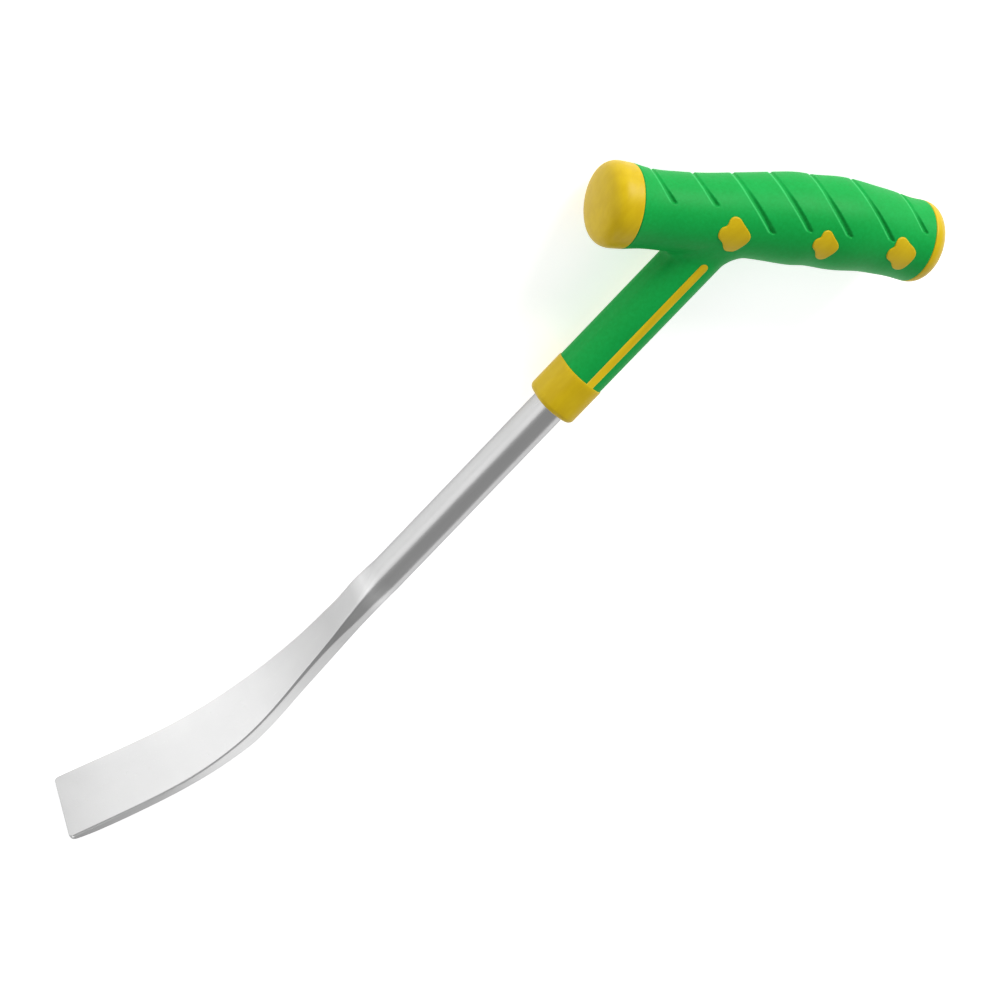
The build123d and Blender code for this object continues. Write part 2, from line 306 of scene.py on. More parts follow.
chord = np.concatenate([[0], np.cumsum(np.linalg.norm(np.diff(BAR_LINE, axis=0), axis=1))])
tt = np.linspace(chord[0] - 12, chord[-1] + 12, 4001)
line_pt, line_d = natural_spline(chord, BAR_LINE, tt)
arc = np.concatenate([[0], np.cumsum(np.linalg.norm(np.diff(line_pt, axis=0), axis=1))])
arc -= np.interp(chord[0], tt, arc) + THUMB_RIM              # zero at the thumb cap's rim
line_d /= np.linalg.norm(line_d, axis=1)[:, None]
LX, LY = line_pt[:, 0] - AX, line_pt[:, 1] - BY
rs = np.linspace(-6, SPAN + 6, 1200)
RAD = natural_spline(BAR_R[:, 0], BAR_R[:, 1], rs)[0]
RAD = np.where(rs < 0, BAR_R[0, 1], np.where(rs > SPAN, BAR_R[-1, 1], RAD))


def bar_coords(p):
    """arc length, offset towards the shaft side, height, for points in the row frame"""
    x, y = p[:, 0], p[:, 1]
    mid = len(arc) // 2
    s = arc[mid] + (x - LX[mid]) * line_d[mid, 0] + (y - LY[mid]) * line_d[mid, 1]
    for _ in range(5):
        cx, cy = np.interp(s, arc, LX), np.interp(s, arc, LY)
        dx, dy = np.interp(s, arc, line_d[:, 0]), np.interp(s, arc, line_d[:, 1])
        s = s + (x - cx) * dx + (y - cy) * dy
    return s, (x - cx) * dy - (y - cy) * dx, p[:, 2] - MID


def bar_radius(s):
    return np.interp(s, rs, RAD)


def bar_station(s):
    c = np.array([np.interp(s, arc, LX), np.interp(s, arc, LY), MID])
    d = np.array([np.interp(s, arc, line_d[:, 0]), np.interp(s, arc, line_d[:, 1]), 0.0])
    d /= np.linalg.norm(d)
    return c, d, np.array([d[1], -d[0], 0.0])


# grip grooves, straight slanting cuts: arc length at the crest, degrees they run
# down each side, slant; then the radius of the cutter and its depth, crest to side
GROOVES = [(5.8, 51.5, 0.96), (21.1, 50.5, 0.90), (35.2, 85.0, 0.77), (48.0, 78.0, 0.78),
           (61.4, 79.0, 0.84), (75.8, 76.0, 1.10), (93.6, 54.0, 1.10)]
GROOVE_R, GROOVE_DEPTH = 0.80, (0.40, 0.84)

STEM = (17.4, 15.7, 6.7)
STEM_CORE = (15.0, 13.9, 6.2)
COLLAR = (18.0, 16.3, 7.0)
MOUTH, SLEEVE_START, STEM_TOP = 42.6, 57.2, 124.0


def sleeve_field(p):
    s, q, z = bar_coords(p)
    rho = np.hypot(q, z)
    r = bar_radius(s)
    side = rho - r
    bar = np.maximum(cut_round(side, -s, 0.35), cut_round(side, s - SPAN, 0.35))
    stem = rounded_rect(z, p[:, 1] + BY, STEM[0], STEM[1], STEM[2])
    stem = np.maximum(stem, np.maximum(SLEEVE_START - 2.0 - (p[:, 0] + AX), p[:, 0] + AX - STEM_TOP))
    f = union_round(bar, stem, 4.0)
    u = np.arctan2(np.abs(z), -q)                           # 0 at the crest
    for crest, run, slant in GROOVES:
        path = crest + slant * r * (1 - np.cos(u))
        near = np.abs(s - path) < 4.0
        if not near.any():
            continue
        un = u[near]
        across = (s[near] - path[near]) / np.sqrt(1 + (slant * np.sin(un)) ** 2)
        x = np.clip((np.degrees(un) - 22) / 26, 0, 1)
        depth = GROOVE_DEPTH[0] + (GROOVE_DEPTH[1] - GROOVE_DEPTH[0]) * x * x * (3 - 2 * x)
        past = np.maximum(un - math.radians(run), 0) * r[near]
        cut = np.sqrt(across ** 2 + (rho[near] - r[near] + depth - GROOVE_R) ** 2 + past ** 2) - GROOVE_R
        f[near] = cut_round(f[near], -cut, 0.15)
    return f


# ===========================================================================
# Steel forging
# ===========================================================================
ROD_R, TANG_END, TIP_CORNER_R = 6.0, 112.0, 1.6
FLAT_FROM, FLAT_TO, TANG_FLAT = 66.0, 80.0, 4.9
SIDE = math.radians(20.0)      # the forged sides lean in towards the back
# a and b of the face, lean, width, thickness, height of the upright part of the
# side, radii at the face edge, where the side starts to lean, and at the back
BLADE = np.array([
    (-31.0, 6.00, 0.0, 12.0, 12.0, 7.058, 6.0, 6.0, 6.0),
    (-35.0, 5.92, 0.0, 11.98, 11.92, 6.95, 5.7, 5.9, 5.9),
    (-40.0, 5.45, 0.0, 12.0, 11.3, 6.2, 4.0, 5.6, 5.6),
    (-46.0, 4.70, -3.0, 12.0, 10.4, 5.1, 2.0, 5.0, 5.2),
    (-53.0, 3.84, -4.5, 12.1, 9.3, 4.1, 1.1, 4.0, 4.6),
    (-62.0, 3.23, -3.0, 13.7, 8.3, 2.4, 0.6, 2.4, 3.6),
    (-71.0, 2.95, -0.6, 15.5, 7.65, 1.5, 0.45, 1.3, 2.8),
    (-79.5, 2.98, 0.8, 17.7, 7.0, 1.2, 0.4, 1.0, 2.2),
    (-88.3, 3.20, 2.6, 20.6, 6.45, 1.0, 0.35, 0.9, 1.8),
    (-96.7, 3.75, 5.4, 23.4, 6.4, 0.9, 0.35, 0.8, 1.5),
    (-105.3, 4.85, 9.4, 25.8, 6.5, 0.85, 0.35, 0.8, 1.4),
    (-113.4, 6.50, 13.4, 27.4, 5.84, 0.8, 0.35, 0.7, 1.3),
    (-121.4, 8.72, 17.2, 28.6, 5.24, 0.8, 0.35, 0.7, 1.2),
    (-129.2, 11.45, 20.8, 29.4, 4.75, 0.8, 0.35, 0.7, 1.2),
    (-136.7, 14.65, 23.8, 29.9, 4.55, 0.8, 0.3, 0.7, 1.1),
    (-144.0, 18.12, 25.6, 30.2, 4.45, 0.8, 0.3, 0.7, 1.0),
    (-151.3, 21.78, 26.5, 30.4, 4.4, 0.8, 0.3, 0.6, 0.9),
    (-158.5, 25.48, 26.8, 30.55, 4.1, 0.85, 0.3, 0.6, 0.8),
    (-163.5, 28.00, 26.7, 30.6, 3.4, 0.9, 0.3, 0.6, 0.7),
    (-167.2, 29.87, 26.6, 30.6, 2.4, 0.9, 0.25, 0.5, 0.5)])


def section(w, t, v, rf, r2, rb, n=46):
    """ring of (width, height) about mid-thickness; +height is the face. Upright
    sides that lean in towards the back. The points gather at the corners."""
    k2, k3 = math.tan(SIDE / 2), math.tan((math.pi / 2 - SIDE) / 2)
    rf = min(rf, w / 2)
    r2 = max(min(r2, (v - rf) / k2), 0.01)
    c3 = w / 2 - (t - v) * math.tan(SIDE)
    slope = (t - v) / math.cos(SIDE)
    rb = max(min(rb, (slope - r2 * k2) / k3, c3 / k3), 0.01)
    h = math.pi / 2
    m2, m3 = (w / 2 - r2, t / 2 - v + r2 * k2), (c3 - rb * k3, -t / 2 + rb)
    parts = [("line", (0, t / 2), (w / 2 - rf, t / 2), 0.0),
             ("arc", (w / 2 - rf, t / 2 - rf), rf, 0.0, h),
             ("line", (w / 2, t / 2 - rf), (w / 2, m2[1]), h),
             ("arc", m2, r2, h, h + SIDE),
             ("line", (m2[0] + r2 * math.cos(SIDE), m2[1] - r2 * math.sin(SIDE)),
              (m3[0] + rb * math.cos(SIDE), m3[1] - rb * math.sin(SIDE)), h + SIDE),
             ("arc", m3, rb, h + SIDE, math.pi),
             ("line", (m3[0], -t / 2), (0, -t / 2), math.pi)]
    x, y, phi = [], [], []
    for p in parts:
        u = np.linspace(0, 1, 60)
        if p[0] == "line":
            x.append(p[1][0] + (p[2][0] - p[1][0]) * u)
            y.append(p[1][1] + (p[2][1] - p[1][1]) * u)
            phi.append(np.full(60, p[3]))
        else:
            q = p[3] + (p[4] - p[3]) * u
            x.append(p[1][0] + p[2] * np.sin(q))
            y.append(p[1][1] + p[2] * np.cos(q))
            phi.append(q)
    x, y, phi = map(np.concatenate, (x, y, phi))
    run = np.concatenate([[0], np.cumsum(np.hypot(np.diff(x), np.diff(y)))])
    tau = 0.5 * run / run[-1] + 0.5 * phi / math.pi
    q = np.linspace(0, 1, n + 1)
    half = np.stack([np.interp(q, tau, x), np.interp(q, tau, y)], 1)
    half[0, 0] = half[-1, 0] = 0.0
    return np.concatenate([half, half[-2:0:-1] * [-1, 1]])


def steel_forging():
    cum = np.concatenate([[0], np.cumsum(np.linalg.norm(np.diff(BLADE[:, :2], axis=0), axis=1))])
    length = cum[-1]
    tq = np.concatenate([np.linspace(0, length - 4.0, 230), length - 4.0 + 4.0 * np.sin(np.linspace(0, 1, 30)[1:] * math.pi / 2)])
    ab, slope = natural_spline(cum, BLADE[:, :2], tq)
    lean = np.radians(natural_spline(cum, BLADE[:, 2], tq)[0])
    w, t, v, rf, r2, rb = (monotone(cum, BLADE[:, c], tq) for c in (3, 4, 5, 6, 7, 8))
    rings = []
    # buried tang and round bar
    rod = [(TANG_END, ROD_R - 0.8), (TANG_END - 0.8, ROD_R)]
    rod += [(x, ROD_R) for x in np.linspace(TANG_END - 2, FLAT_TO + 0.01, 12)]
    rod += [(FLAT_TO - 0.01, ROD_R), (FLAT_FROM + 0.01, ROD_R), (FLAT_FROM - 0.01, ROD_R)]
    rod += [(x, ROD_R) for x in np.linspace(FLAT_FROM - 2, MOUTH + 2, 10)]
    rod += [(x, ROD_R) for x in np.linspace(MOUTH, BLADE[0, 0] + 1.5, 70)]
    for a, r in rod:
        ring = section(2 * r, 2 * r, r * (1 + math.tan(SIDE / 2)), r, r, r)
        if FLAT_FROM < a < FLAT_TO:
            ring[:, 1] = np.clip(ring[:, 1], -TANG_FLAT, TANG_FLAT)
        rings.append(np.stack([np.full(len(ring), a - AX), ring[:, 1] - BY, ring[:, 0] + MID], 1))
    for k in range(len(tq)):
        left = length - tq[k]
        wk = w[k]
        if left < TIP_CORNER_R:
            wk -= 2 * (TIP_CORNER_R - math.sqrt(max(TIP_CORNER_R ** 2 - (TIP_CORNER_R - left) ** 2, 0)))
        ring = section(wk, t[k], v[k], rf[k], r2[k], rb[k])
        th = lean[k]
        up = np.array([math.sin(th), math.cos(th)])          # from the back to the face, in (a, b)
        c = ab[k] - up * t[k] / 2
        if left < 0.45:                                       # the tip edge is slightly rounded over
            e = 0.45 - math.sqrt(max(0.45 ** 2 - (0.45 - left) ** 2, 0))
            ring = ring * [1.0, 1.0 - 2 * e / t[k]]
        rings.append(np.stack([c[0] + up[0] * ring[:, 1] - AX, c[1] + up[1] * ring[:, 1] - BY,
                               ring[:, 0] + MID], 1))
    return outward(tube("SteelForging", rings))


# ===========================================================================
# Moulded core, its raised marks and side ribs, and the end caps
# ===========================================================================
CAVITY_R, SPIGOT_R, SPIGOT_LEN, RISE = 6.8, 7.2, 9.0, 0.35
RIB_W, RIB_END, RIB_RISE = 3.1, 110.6, 0.2
THUMB_PROFILE = [(0.0, 13.35), (2.0, 13.45), (4.2, 13.55), (6.6, 13.15), (8.6, 11.70),
                 (9.75, 9.40), (10.4, 6.0)]
REAR_PROFILE = [(0.0, 13.50), (1.8, 13.36), (4.0, 12.33), (5.56, 10.45),
                (6.44, 7.55), (6.89, 4.6)]
PETALS = [(123.4, 3.1, 1.0, 0.0), (139.8, -23.9, 0.85, -2.0), (153.7, -49.1, 0.97, 8.0)]
PETAL = np.array([(4.6, 4.3), (5.2, 2.4), (4.6, 0.2), (4.1, -2.2), (3.1, -4.3), (1.2, -5.2),
                  (-1.6, -5.3), (-4.2, -5.0), (-5.5, -3.3), (-5.2, -1.0), (-4.1, 1.2),
                  (-3.7, 3.6), (-2.4, 5.2), (-0.5, 5.5), (1.0, 4.7), (2.9, 5.1)])


def rect_ring(wz, wy, r, n=14):
    """rounded rectangle, (z, y) ring"""
    pts = []
    for k, (sz, sy) in enumerate(((1, 1), (-1, 1), (-1, -1), (1, -1))):
        for a in np.linspace(0, math.pi / 2, n):
            b = a + k * math.pi / 2
            pts.append((sz * (wz / 2 - r) + r * math.cos(b), sy * (wy / 2 - r) + r * math.sin(b)))
    return np.array(pts)


def prism_x(name, spans):
    """rounded-rectangle prism along the shaft: (a, width z, width y, corner)"""
    rings = []
    for a, wz, wy, r in spans:
        q = rect_ring(wz, wy, r)
        rings.append(np.stack([np.full(len(q), a - AX), q[:, 1] - BY, q[:, 0] + MID], 1))
    return outward(tube(name, rings))


def bar_tube(name, stations, n=96):
    rings = []
    th = np.linspace(0, 2 * math.pi, n, endpoint=False)
    for s, r in stations:
        c, d, q = bar_station(s)
        rings.append(c + r * (np.cos(th)[:, None] * q + np.sin(th)[:, None] * np.array([0, 0, 1.0])))
    return outward(tube(name, rings))


def closed_outline(pts, per=14):
    """smooth closed curve through the points"""
    n = len(pts)
    ext = np.concatenate([pts[-3:], pts, pts[:4]])
    t = np.arange(-3, n + 4, dtype=float)
    q = np.arange(n * per) / per
    return natural_spline(t, ext, q)[0]


def outline_distance(p, ring):
    """signed distance from 2-D points to a closed polygon"""
    a, b = ring, np.roll(ring, -1, 0)
    best = np.full(len(p), 1e9)
    wind = np.zeros(len(p), bool)
    for (ax, ay), (bx, by) in zip(a, b):
        ex, ey = bx - ax, by - ay
        wx, wy = p[:, 0] - ax, p[:, 1] - ay
        t = np.clip((wx * ex + wy * ey) / (ex * ex + ey * ey), 0, 1)
        best = np.minimum(best, (wx - t * ex) ** 2 + (wy - t * ey) ** 2)
        c = ((ay <= p[:, 1]) & (by > p[:, 1])) | ((by <= p[:, 1]) & (ay > p[:, 1]))
        if ey != 0:
            wind ^= c & (p[:, 0] < ax + (p[:, 1] - ay) / ey * ex)
    return np.where(wind, -1, 1) * np.sqrt(best)


def petal_mark(name, a, b, k, turn, top):
    c, sn = math.cos(math.radians(turn)), math.sin(math.radians(turn))
    base = closed_outline(PETAL, 8) * k
    ring = np.stack([a + base[:, 0] * c - base[:, 1] * sn - AX, b + base[:, 0] * sn + base[:, 1] * c - BY], 1)
    g = 0.1
    lo2 = ring.min(0) - 1.5
    size = np.ceil((ring.max(0) + 1.5 - lo2) / g).astype(int) + 1
    grid = np.stack(np.meshgrid(*[np.arange(m) * g for m in size], indexing="ij"), -1).reshape(-1, 2) + lo2
    table = outline_distance(grid, ring).reshape(size)

    def flat(p):
        q = (p[:, :2] - lo2) / g
        i = np.clip(np.floor(q).astype(int), 0, size - 2)
        fx, fy = (np.clip(q - i, 0, 1)).T
        t = table
        return (t[i[:, 0], i[:, 1]] * (1 - fx) * (1 - fy) + t[i[:, 0] + 1, i[:, 1]] * fx * (1 - fy)
                + t[i[:, 0], i[:, 1] + 1] * (1 - fx) * fy + t[i[:, 0] + 1, i[:, 1] + 1] * fx * fy)

    def field(p):
        s, q, z = bar_coords(p)
        rho = np.hypot(q, z)
        r = bar_radius(s)
        out = flat(p)
        f = cut_round(out, rho - (r + RISE), 0.3)
        return np.maximum(f, (r - SKIN - 1.2) - rho)

    z0, z1 = (MID, MID + 16.5) if top > 0 else (MID - 16.5, MID)
    return skin_of(field, (lo2[0] + 1.0, lo2[1] + 1.0, z0), (ring[:, 0].max() + 0.5, ring[:, 1].max() + 0.5, z1),
                   0.22, 5, name)


def cap(name, s, sense, profile, crown, n=144):
    """turned end cap with its spigot; the rim edge is slightly broken"""
    c, d, q = bar_station(s)
    d = d * sense
    prof = np.array(profile + [(crown, 0.0)])
    # through the shoulder points, meeting the axis square on
    t = np.concatenate([[0], np.cumsum(np.linalg.norm(np.diff(prof, axis=0), axis=1))])
    mirror = np.concatenate([prof, prof[::-1][1:] * [1, -1]])
    tm = np.concatenate([t, 2 * t[-1] - t[::-1][1:]])
    curve = natural_spline(tm, mirror, np.linspace(0, t[-1], 72))[0]
    curve[-1, 1] = 0.0
    curve = curve[curve[:, 0] >= 0]
    r0 = profile[0][1]
    edge = [(0.0, r0 - 0.35), (0.04, r0 - 0.2), (0.12, r0 - 0.07), (0.28, r0 + 0.0)]
    curve = curve[(curve[:, 0] > 0.45) | (curve[:, 1] < r0 - 1)]
    inner = [(-SPIGOT_LEN, 0.6), (-SPIGOT_LEN, SPIGOT_R - 0.5), (-SPIGOT_LEN + 0.5, SPIGOT_R)]
    inner += [(-x, SPIGOT_R) for x in (6.0, 4.0, 2.0)] + [(0.0, SPIGOT_R), (0.0, 9.0), (0.0, 11.0), (0.0, 12.4)]
    pts = inner + edge + [tuple(x) for x in curve[:-1]]
    th = np.linspace(0, 2 * math.pi, n, endpoint=False)
    rings = [c + d * x + r * (np.cos(th)[:, None] * q + np.sin(th)[:, None] * np.array([0, 0, 1.0])) for x, r in pts]
    return outward(tube(name, rings))


# ---- build ---------------------------------------------------------------------
steel = steel_forging()
pin = duplicate(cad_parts["tang_pin"], "pin_cutter")
boolean(steel, pin, "DIFFERENCE", keep=True)

thumb = cap("ThumbEndCap", 0.0, -1, THUMB_PROFILE, 10.8)
rear = cap("RearEndCap", SPAN, 1, REAR_PROFILE, 7.14)

core = bar_tube("HandleCore", [(s, bar_radius(s) - SKIN) for s in np.linspace(0, SPAN, 90)])
stem_core = prism_x("stem_core", [(SLEEVE_START - 2, *STEM_CORE), (STEM_TOP, *STEM_CORE)])
boolean(core, stem_core, "UNION")
round_in = [(1.9 * (1 - math.cos(x)), 1.9 * (1 - math.sin(x))) for x in np.linspace(0, math.pi / 2, 10)]
collar_spans = [(MOUTH + da, COLLAR[0] - 2 * inset, COLLAR[1] - 2 * inset, COLLAR[2] - inset)
                for da, inset in round_in]
collar_spans += [(x, *COLLAR) for x in (47.0, 50.0, 53.0, 55.5)]
collar_spans += [(SLEEVE_START - 0.25, *COLLAR), (SLEEVE_START - 0.07, COLLAR[0] - 0.14, COLLAR[1] - 0.14, COLLAR[2] - 0.07),
                 (SLEEVE_START, COLLAR[0] - 0.4, COLLAR[1] - 0.4, COLLAR[2] - 0.2)]
boolean(core, prism_x("collar", collar_spans), "UNION")

# side ribs, stadium outline with a softened top
rib_rings = []
top = STEM[0] / 2 + RIB_RISE
for z, inset in [(-top, 0.45), (-top + 0.06, 0.22), (-top + 0.2, 0.06), (-top + 0.45, 0.0), (0.0, 0.0),
                 (top - 0.45, 0.0), (top - 0.2, 0.06), (top - 0.06, 0.22), (top, 0.45)]:
    r = RIB_W / 2 - inset
    ang = np.linspace(-math.pi / 2, math.pi / 2, 20)
    far = [(RIB_END - RIB_W / 2 + r * math.cos(x), r * math.sin(x)) for x in ang]
    near_ = [(SLEEVE_START - 3 + RIB_W / 2 - r * math.cos(x), -r * math.sin(x)) for x in ang]
    rib_rings.append([(a - AX, b - BY, MID + z) for a, b in far + near_])
boolean(core, outward(tube("ribs", rib_rings)), "UNION")
for i, (a, b, k, turn) in enumerate(PETALS):
    for up in (1, -1):
        boolean(core, petal_mark("petal", a, b, k, turn, up), "UNION")
hollow = bar_tube("hollow", [(s, CAVITY_R) for s in np.linspace(-1, SPAN + 1, 40)], 64)
boolean(core, hollow, "DIFFERENCE")
for piece in (thumb, rear, steel, pin):
    boolean(core, piece, "DIFFERENCE", keep=piece is not pin)

sleeve_lo = np.array([SLEEVE_START - 3 - AX, -66 - BY - 8, MID - 16.5])
sleeve_hi = np.array([176 - AX, 44 - BY + 8, MID + 16.5])
sleeve = skin_of(sleeve_field, sleeve_lo, sleeve_hi, 0.33, 6, "GripSleeve")
# square end at the collar
cutter = prism_x("end_cutter", [(SLEEVE_START - 8, 40, 40, 3), (SLEEVE_START, 40, 40, 3)])
boolean(sleeve, cutter, "DIFFERENCE")
boolean(sleeve, core, "DIFFERENCE", keep=True)
for piece in (thumb, rear):
    boolean(sleeve, piece, "DIFFERENCE", keep=True)
plug = bar_tube("plug", [(s, bar_radius(s) - SKIN) for s in np.linspace(0, SPAN, 90)])
boolean(sleeve, plug, "DIFFERENCE")
plug = prism_x("plug2", [(SLEEVE_START - 2, *STEM_CORE), (STEM_TOP, *STEM_CORE)])
boolean(sleeve, plug, "DIFFERENCE")



def mark_groove_highlight(ob):
    """per-vertex weight along the lower lip of each groove, where the material paints a highlight"""
    co = np.zeros(len(ob.data.vertices) * 3)
    ob.data.vertices.foreach_get("co", co)
    s, q, z = bar_coords(co.reshape(-1, 3) * 1000.0)
    rho, r = np.hypot(q, z), bar_radius(s)
    u = np.arctan2(np.abs(z), -q)
    lip_highlight = np.zeros(len(s))
    for crest, run, slant in GROOVES:
        across = (s - crest - slant * r * (1 - np.cos(u))) / np.sqrt(1 + (slant * np.sin(u)) ** 2)
        w = np.clip(1.35 * (1 - np.abs(across + 0.95) / 0.45), 0, 1)
        w *= np.clip((math.radians(run) + 0.05 - u) / 0.05, 0, 1) * (rho > r - 0.45)
        lip_highlight = np.maximum(lip_highlight, w)
    ob.data.attributes.new("lip_highlight", "FLOAT", "POINT").data.foreach_set("value", lip_highlight.astype(np.float32))


# weights for the painted highlight along the groove lips
mark_groove_highlight(sleeve)

# ===========================================================================
# Materials
# ===========================================================================
def nodes_of(name):
    m = bpy.data.materials.new(name)
    m.use_nodes = True
    nt = m.node_tree
    nt.nodes.clear()
    out = nt.nodes.new("ShaderNodeOutputMaterial")
    bsdf = nt.nodes.new("ShaderNodeBsdfPrincipled")
    nt.links.new(bsdf.outputs[0], out.inputs[0])
    return m, nt, bsdf


def noise(nt, vec, scale, detail=3.0, rough=0.5):
    n = nt.nodes.new("ShaderNodeTexNoise")
    n.inputs["Scale"].default_value = scale
    n.inputs["Detail"].default_value = detail
    n.inputs["Roughness"].default_value = rough
    nt.links.new(vec, n.inputs["Vector"])
    return n.outputs["Fac"]


def coords(nt, scale=(1, 1, 1), rot=(0, 0, 0)):
    tc = nt.nodes.new("ShaderNodeTexCoord")
    mp = nt.nodes.new("ShaderNodeMapping")
    mp.inputs["Scale"].default_value = scale
    mp.inputs["Rotation"].default_value = rot
    nt.links.new(tc.outputs["Object"], mp.inputs["Vector"])
    return mp.outputs["Vector"]


def ramp(nt, fac, stops):
    r = nt.nodes.new("ShaderNodeValToRGB")
    e = r.color_ramp.elements
    while len(e) < len(stops):
        e.new(0.5)
    for k, (pos, col) in enumerate(stops):
        e[k].position = pos
        e[k].color = (*col, 1.0) if len(col) == 3 else col
    nt.links.new(fac, r.inputs["Fac"])
    return r.outputs["Color"]


def mix(nt, a, b, fac, kind="MIX"):
    n = nt.nodes.new("ShaderNodeMix")
    n.data_type = "RGBA"
    n.blend_type = kind
    if isinstance(fac, (int, float)):
        n.inputs[0].default_value = fac
    else:
        nt.links.new(fac, n.inputs[0])
    nt.links.new(a, n.inputs[6])
    nt.links.new(b, n.inputs[7])
    return n.outputs[2]


def maprange(nt, v, a, b, c, d):
    n = nt.nodes.new("ShaderNodeMapRange")
    for k, x in zip(("From Min", "From Max", "To Min", "To Max"), (a, b, c, d)):
        n.inputs[k].default_value = x
    nt.links.new(v, n.inputs["Value"])
    return n.outputs["Result"]


def bump(nt, h, dist, strength, normal=None):
    b = nt.nodes.new("ShaderNodeBump")
    b.inputs["Distance"].default_value = dist
    b.inputs["Strength"].default_value = strength
    nt.links.new(h, b.inputs["Height"])
    if normal is not None:
        nt.links.new(normal, b.inputs["Normal"])
    return b.outputs["Normal"]


def srgb(r, g, b):
    return tuple(((c / 255 + 0.055) / 1.055) ** 2.4 if c > 10 else c / 255 / 12.92 for c in (r, g, b))


def steel_material():
    m, nt, p = nodes_of("satin_steel")
    fine = noise(nt, coords(nt, (60, 2600, 2600)), 1.0, 4, 0.6)
    cloud = noise(nt, coords(nt), 55.0, 3, 0.5)
    pit = noise(nt, coords(nt), 1500.0, 2, 0.6)
    # painted reflection: the base colour makes the flat brightest at mid-blade and dullest at the neck and tip,
    # with a painted highlight where it runs out into the bar
    tc = nt.nodes.new("ShaderNodeTexCoord")
    split = nt.nodes.new("ShaderNodeSeparateXYZ")
    nt.links.new(tc.outputs["Object"], split.inputs[0])
    along = maprange(nt, split.outputs[0], (-170.3 - AX) / 1000, (-28.3 - AX) / 1000, 0.0, 1.0)
    painted_reflection = ramp(nt, along, [(p, (v, v, v)) for p, v in (
        (0.02, 0.55), (0.145, 0.66), (0.31, 0.725), (0.41, 0.745), (0.52, 0.72), (0.64, 0.60),
        (0.77, 0.50), (0.86, 0.53), (0.90, 0.68), (0.945, 0.55))])
    base = mix(nt, painted_reflection, ramp(nt, cloud, [(0.3, (0.96, 0.96, 0.96)), (0.7, (1.0, 1.0, 0.997))]), 1.0, "MULTIPLY")
    nt.links.new(base, p.inputs["Base Color"])
    p.inputs["Metallic"].default_value = 1.0
    p.inputs["Specular Tint"].default_value = (0.60, 0.60, 0.61, 1.0)
    r = maprange(nt, fine, 0.3, 0.7, 0.27, 0.34)
    nt.links.new(r, p.inputs["Roughness"])
    n1 = bump(nt, fine, 0.00002, 0.35)
    n2 = bump(nt, pit, 0.00002, 0.25, n1)
    nt.links.new(n2, p.inputs["Normal"])
    return m


def pin_material():
    m, nt, p = nodes_of("pin_steel")
    v = noise(nt, coords(nt, (2500, 80, 2500)), 1.0, 3)
    nt.links.new(ramp(nt, v, [(0.3, (0.42, 0.42, 0.43)), (0.7, (0.55, 0.55, 0.56))]), p.inputs["Base Color"])
    p.inputs["Metallic"].default_value = 1.0
    nt.links.new(maprange(nt, v, 0.3, 0.7, 0.3, 0.5), p.inputs["Roughness"])
    nt.links.new(bump(nt, v, 0.00002, 0.4), p.inputs["Normal"])
    return m


def green_material():
    m, nt, p = nodes_of("soft_green_rubber")
    cloud = noise(nt, coords(nt), 38.0, 4, 0.55)
    speck = noise(nt, coords(nt), 900.0, 3, 0.6)
    grain = noise(nt, coords(nt), 2600.0, 2, 0.55)
    base = ramp(nt, cloud, [(0.30, srgb(10, 149, 60)), (0.70, srgb(13, 157, 66))])
    dusty = ramp(nt, speck, [(0.35, srgb(10, 141, 54)), (0.70, srgb(17, 163, 74))])
    col = mix(nt, base, dusty, 0.35)
    # painted highlight: the lower lip of each groove is coloured a lighter green, standing in for light catching it
    lip_highlight = nt.nodes.new("ShaderNodeAttribute")
    lip_highlight.attribute_name = "lip_highlight"
    painted_highlight = ramp(nt, cloud, [(0.3, srgb(58, 184, 98)), (0.7, srgb(66, 194, 106))])
    col = mix(nt, col, painted_highlight, maprange(nt, lip_highlight.outputs["Fac"], 0.0, 1.0, 0.0, 0.85))
    nt.links.new(col, p.inputs["Base Color"])
    nt.links.new(maprange(nt, cloud, 0.3, 0.7, 0.46, 0.56), p.inputs["Roughness"])
    n1 = bump(nt, grain, 0.00005, 0.5)
    n2 = bump(nt, speck, 0.00006, 0.35, n1)
    nt.links.new(n2, p.inputs["Normal"])
    p.inputs["Specular IOR Level"].default_value = 0.11
    return m


def yellow_material(name, warm=0.0):
    m, nt, p = nodes_of(name)
    cloud = noise(nt, coords(nt), 45.0, 4, 0.55)
    flow = noise(nt, coords(nt, (150, 420, 420)), 1.0, 3, 0.5)
    grain = noise(nt, coords(nt), 2300.0, 2, 0.55)
    base = ramp(nt, cloud, [(0.30, srgb(194, 164, 4)), (0.70, srgb(200, 170, 8))])
    streak = ramp(nt, flow, [(0.35, srgb(190, 158, 3)), (0.65, srgb(204, 175, 14))])
    col = mix(nt, base, streak, 0.4)
    nt.links.new(col, p.inputs["Base Color"])
    nt.links.new(maprange(nt, cloud, 0.3, 0.7, 0.36, 0.46), p.inputs["Roughness"])
    n1 = bump(nt, grain, 0.00004, 0.35)
    n2 = bump(nt, flow, 0.00008, 0.25, n1)
    nt.links.new(n2, p.inputs["Normal"])
    p.inputs["Specular IOR Level"].default_value = 0.2
    return m


def set_material(ob, m):
    ob.data.materials.clear()
    ob.data.materials.append(m)


yellow = yellow_material("moulded_yellow_plastic")
set_material(steel, steel_material())
set_material(sleeve, green_material())
for o in (core, thumb, rear):
    set_material(o, yellow)
set_material(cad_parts["tang_pin"], pin_material())

for o, node, slot in ((steel, "blade_shaft", "bright_steel"), (sleeve, "grip_sleeve", "green_rubber"),
                      (core, "handle_core", "yellow_plastic"), (thumb, "thumb_cap", "yellow_plastic"),
                      (rear, "rear_cap", "yellow_plastic")):
    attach(o, "root")
    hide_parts(node)

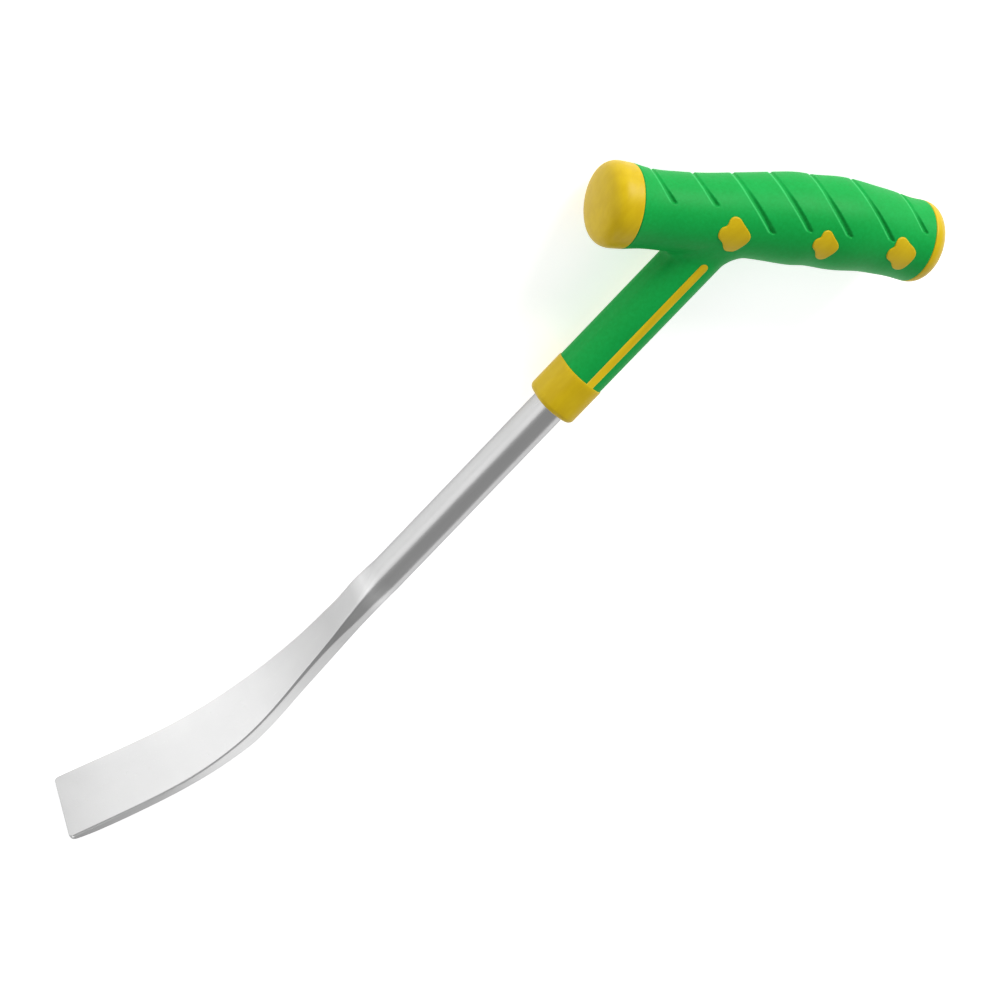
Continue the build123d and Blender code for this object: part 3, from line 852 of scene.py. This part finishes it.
# ===========================================================================
# Floor, light, camera
# ===========================================================================
floor = new_mesh("Floor", [(-4000, -4000, 0), (4000, -4000, 0), (4000, 4000, 0), (-4000, 4000, 0)],
                 [(0, 1, 2, 3)], smooth=False)
fm, fnt, fp = nodes_of("pale_floor")
fn = noise(fnt, coords(fnt), 6.0, 3, 0.5)
fnt.links.new(ramp(fnt, fn, [(0.3, (0.86, 0.86, 0.86)), (0.7, (0.90, 0.90, 0.90))]), fp.inputs["Base Color"])
fp.inputs["Roughness"].default_value = 0.9
fp.inputs["Specular IOR Level"].default_value = 0.1
fp.inputs["Emission Color"].default_value = (1, 1, 1, 1)
fp.inputs["Emission Strength"].default_value = 0.53
set_material(floor, fm)

world = bpy.data.worlds.new("studio")
bpy.context.scene.world = world
world.use_nodes = True
wn = world.node_tree
bg = wn.nodes["Background"]
bg.inputs[0].default_value = (1, 1, 1, 1)
bg.inputs[1].default_value = 0.41


def softbox(name, where, look, size, power, shape="RECTANGLE"):
    """area light; where and look in metres"""
    l = bpy.data.lights.new(name, "AREA")
    l.shape = shape
    l.size, l.size_y = size
    l.energy = power
    o = bpy.data.objects.new(name, l)
    bpy.context.scene.collection.objects.link(o)
    o.location = where
    o.rotation_mode = "QUATERNION"
    o.rotation_quaternion = (Vector(look) - Vector(where)).to_track_quat("-Z", "Y")
    return o


softbox("key", (1.62, 0.22, 0.62), (0.05, 0.0, 0.01), (0.9, 0.7), 27)
softbox("front", (-0.30, 1.20, 0.55), (0.0, 0.0, 0.01), (1.1, 1.05), 3.7)
softbox("back_fill", (0.10, -1.45, 0.40), (0.0, 0.0, 0.01), (2.2, 0.75), 4.2)
softbox("left_fill", (-1.5, -0.75, 1.0), (0.0, 0.0, 0.01), (1.0, 1.0), 5.0)

cam_data = bpy.data.cameras.new("camera")
cam_data.sensor_width = 36.0
cam_data.lens = 2400.0 / 1001.0 * 36.0
cam_data.clip_start, cam_data.clip_end = 0.05, 20.0
cam = bpy.data.objects.new("camera", cam_data)
bpy.context.scene.collection.objects.link(cam)
right = Vector((0.67894, -0.66659, 0.30772)).normalized()
back = Vector((0.22, 0.58458, 0.78094)).normalized()
up = back.cross(right).normalized()
right = up.cross(back)
rot = Matrix((right, up, back)).transposed()
cam.matrix_world = Matrix.Translation(Vector((180.339 - AX, 447.856 - BY, 615.147 + MID)) / 1000.0) @ rot.to_4x4()
bpy.context.scene.camera = cam

view = bpy.context.scene.view_settings
view.view_transform = "Standard"
view.look = "None"
view.exposure = 0.0
view.gamma = 1.0
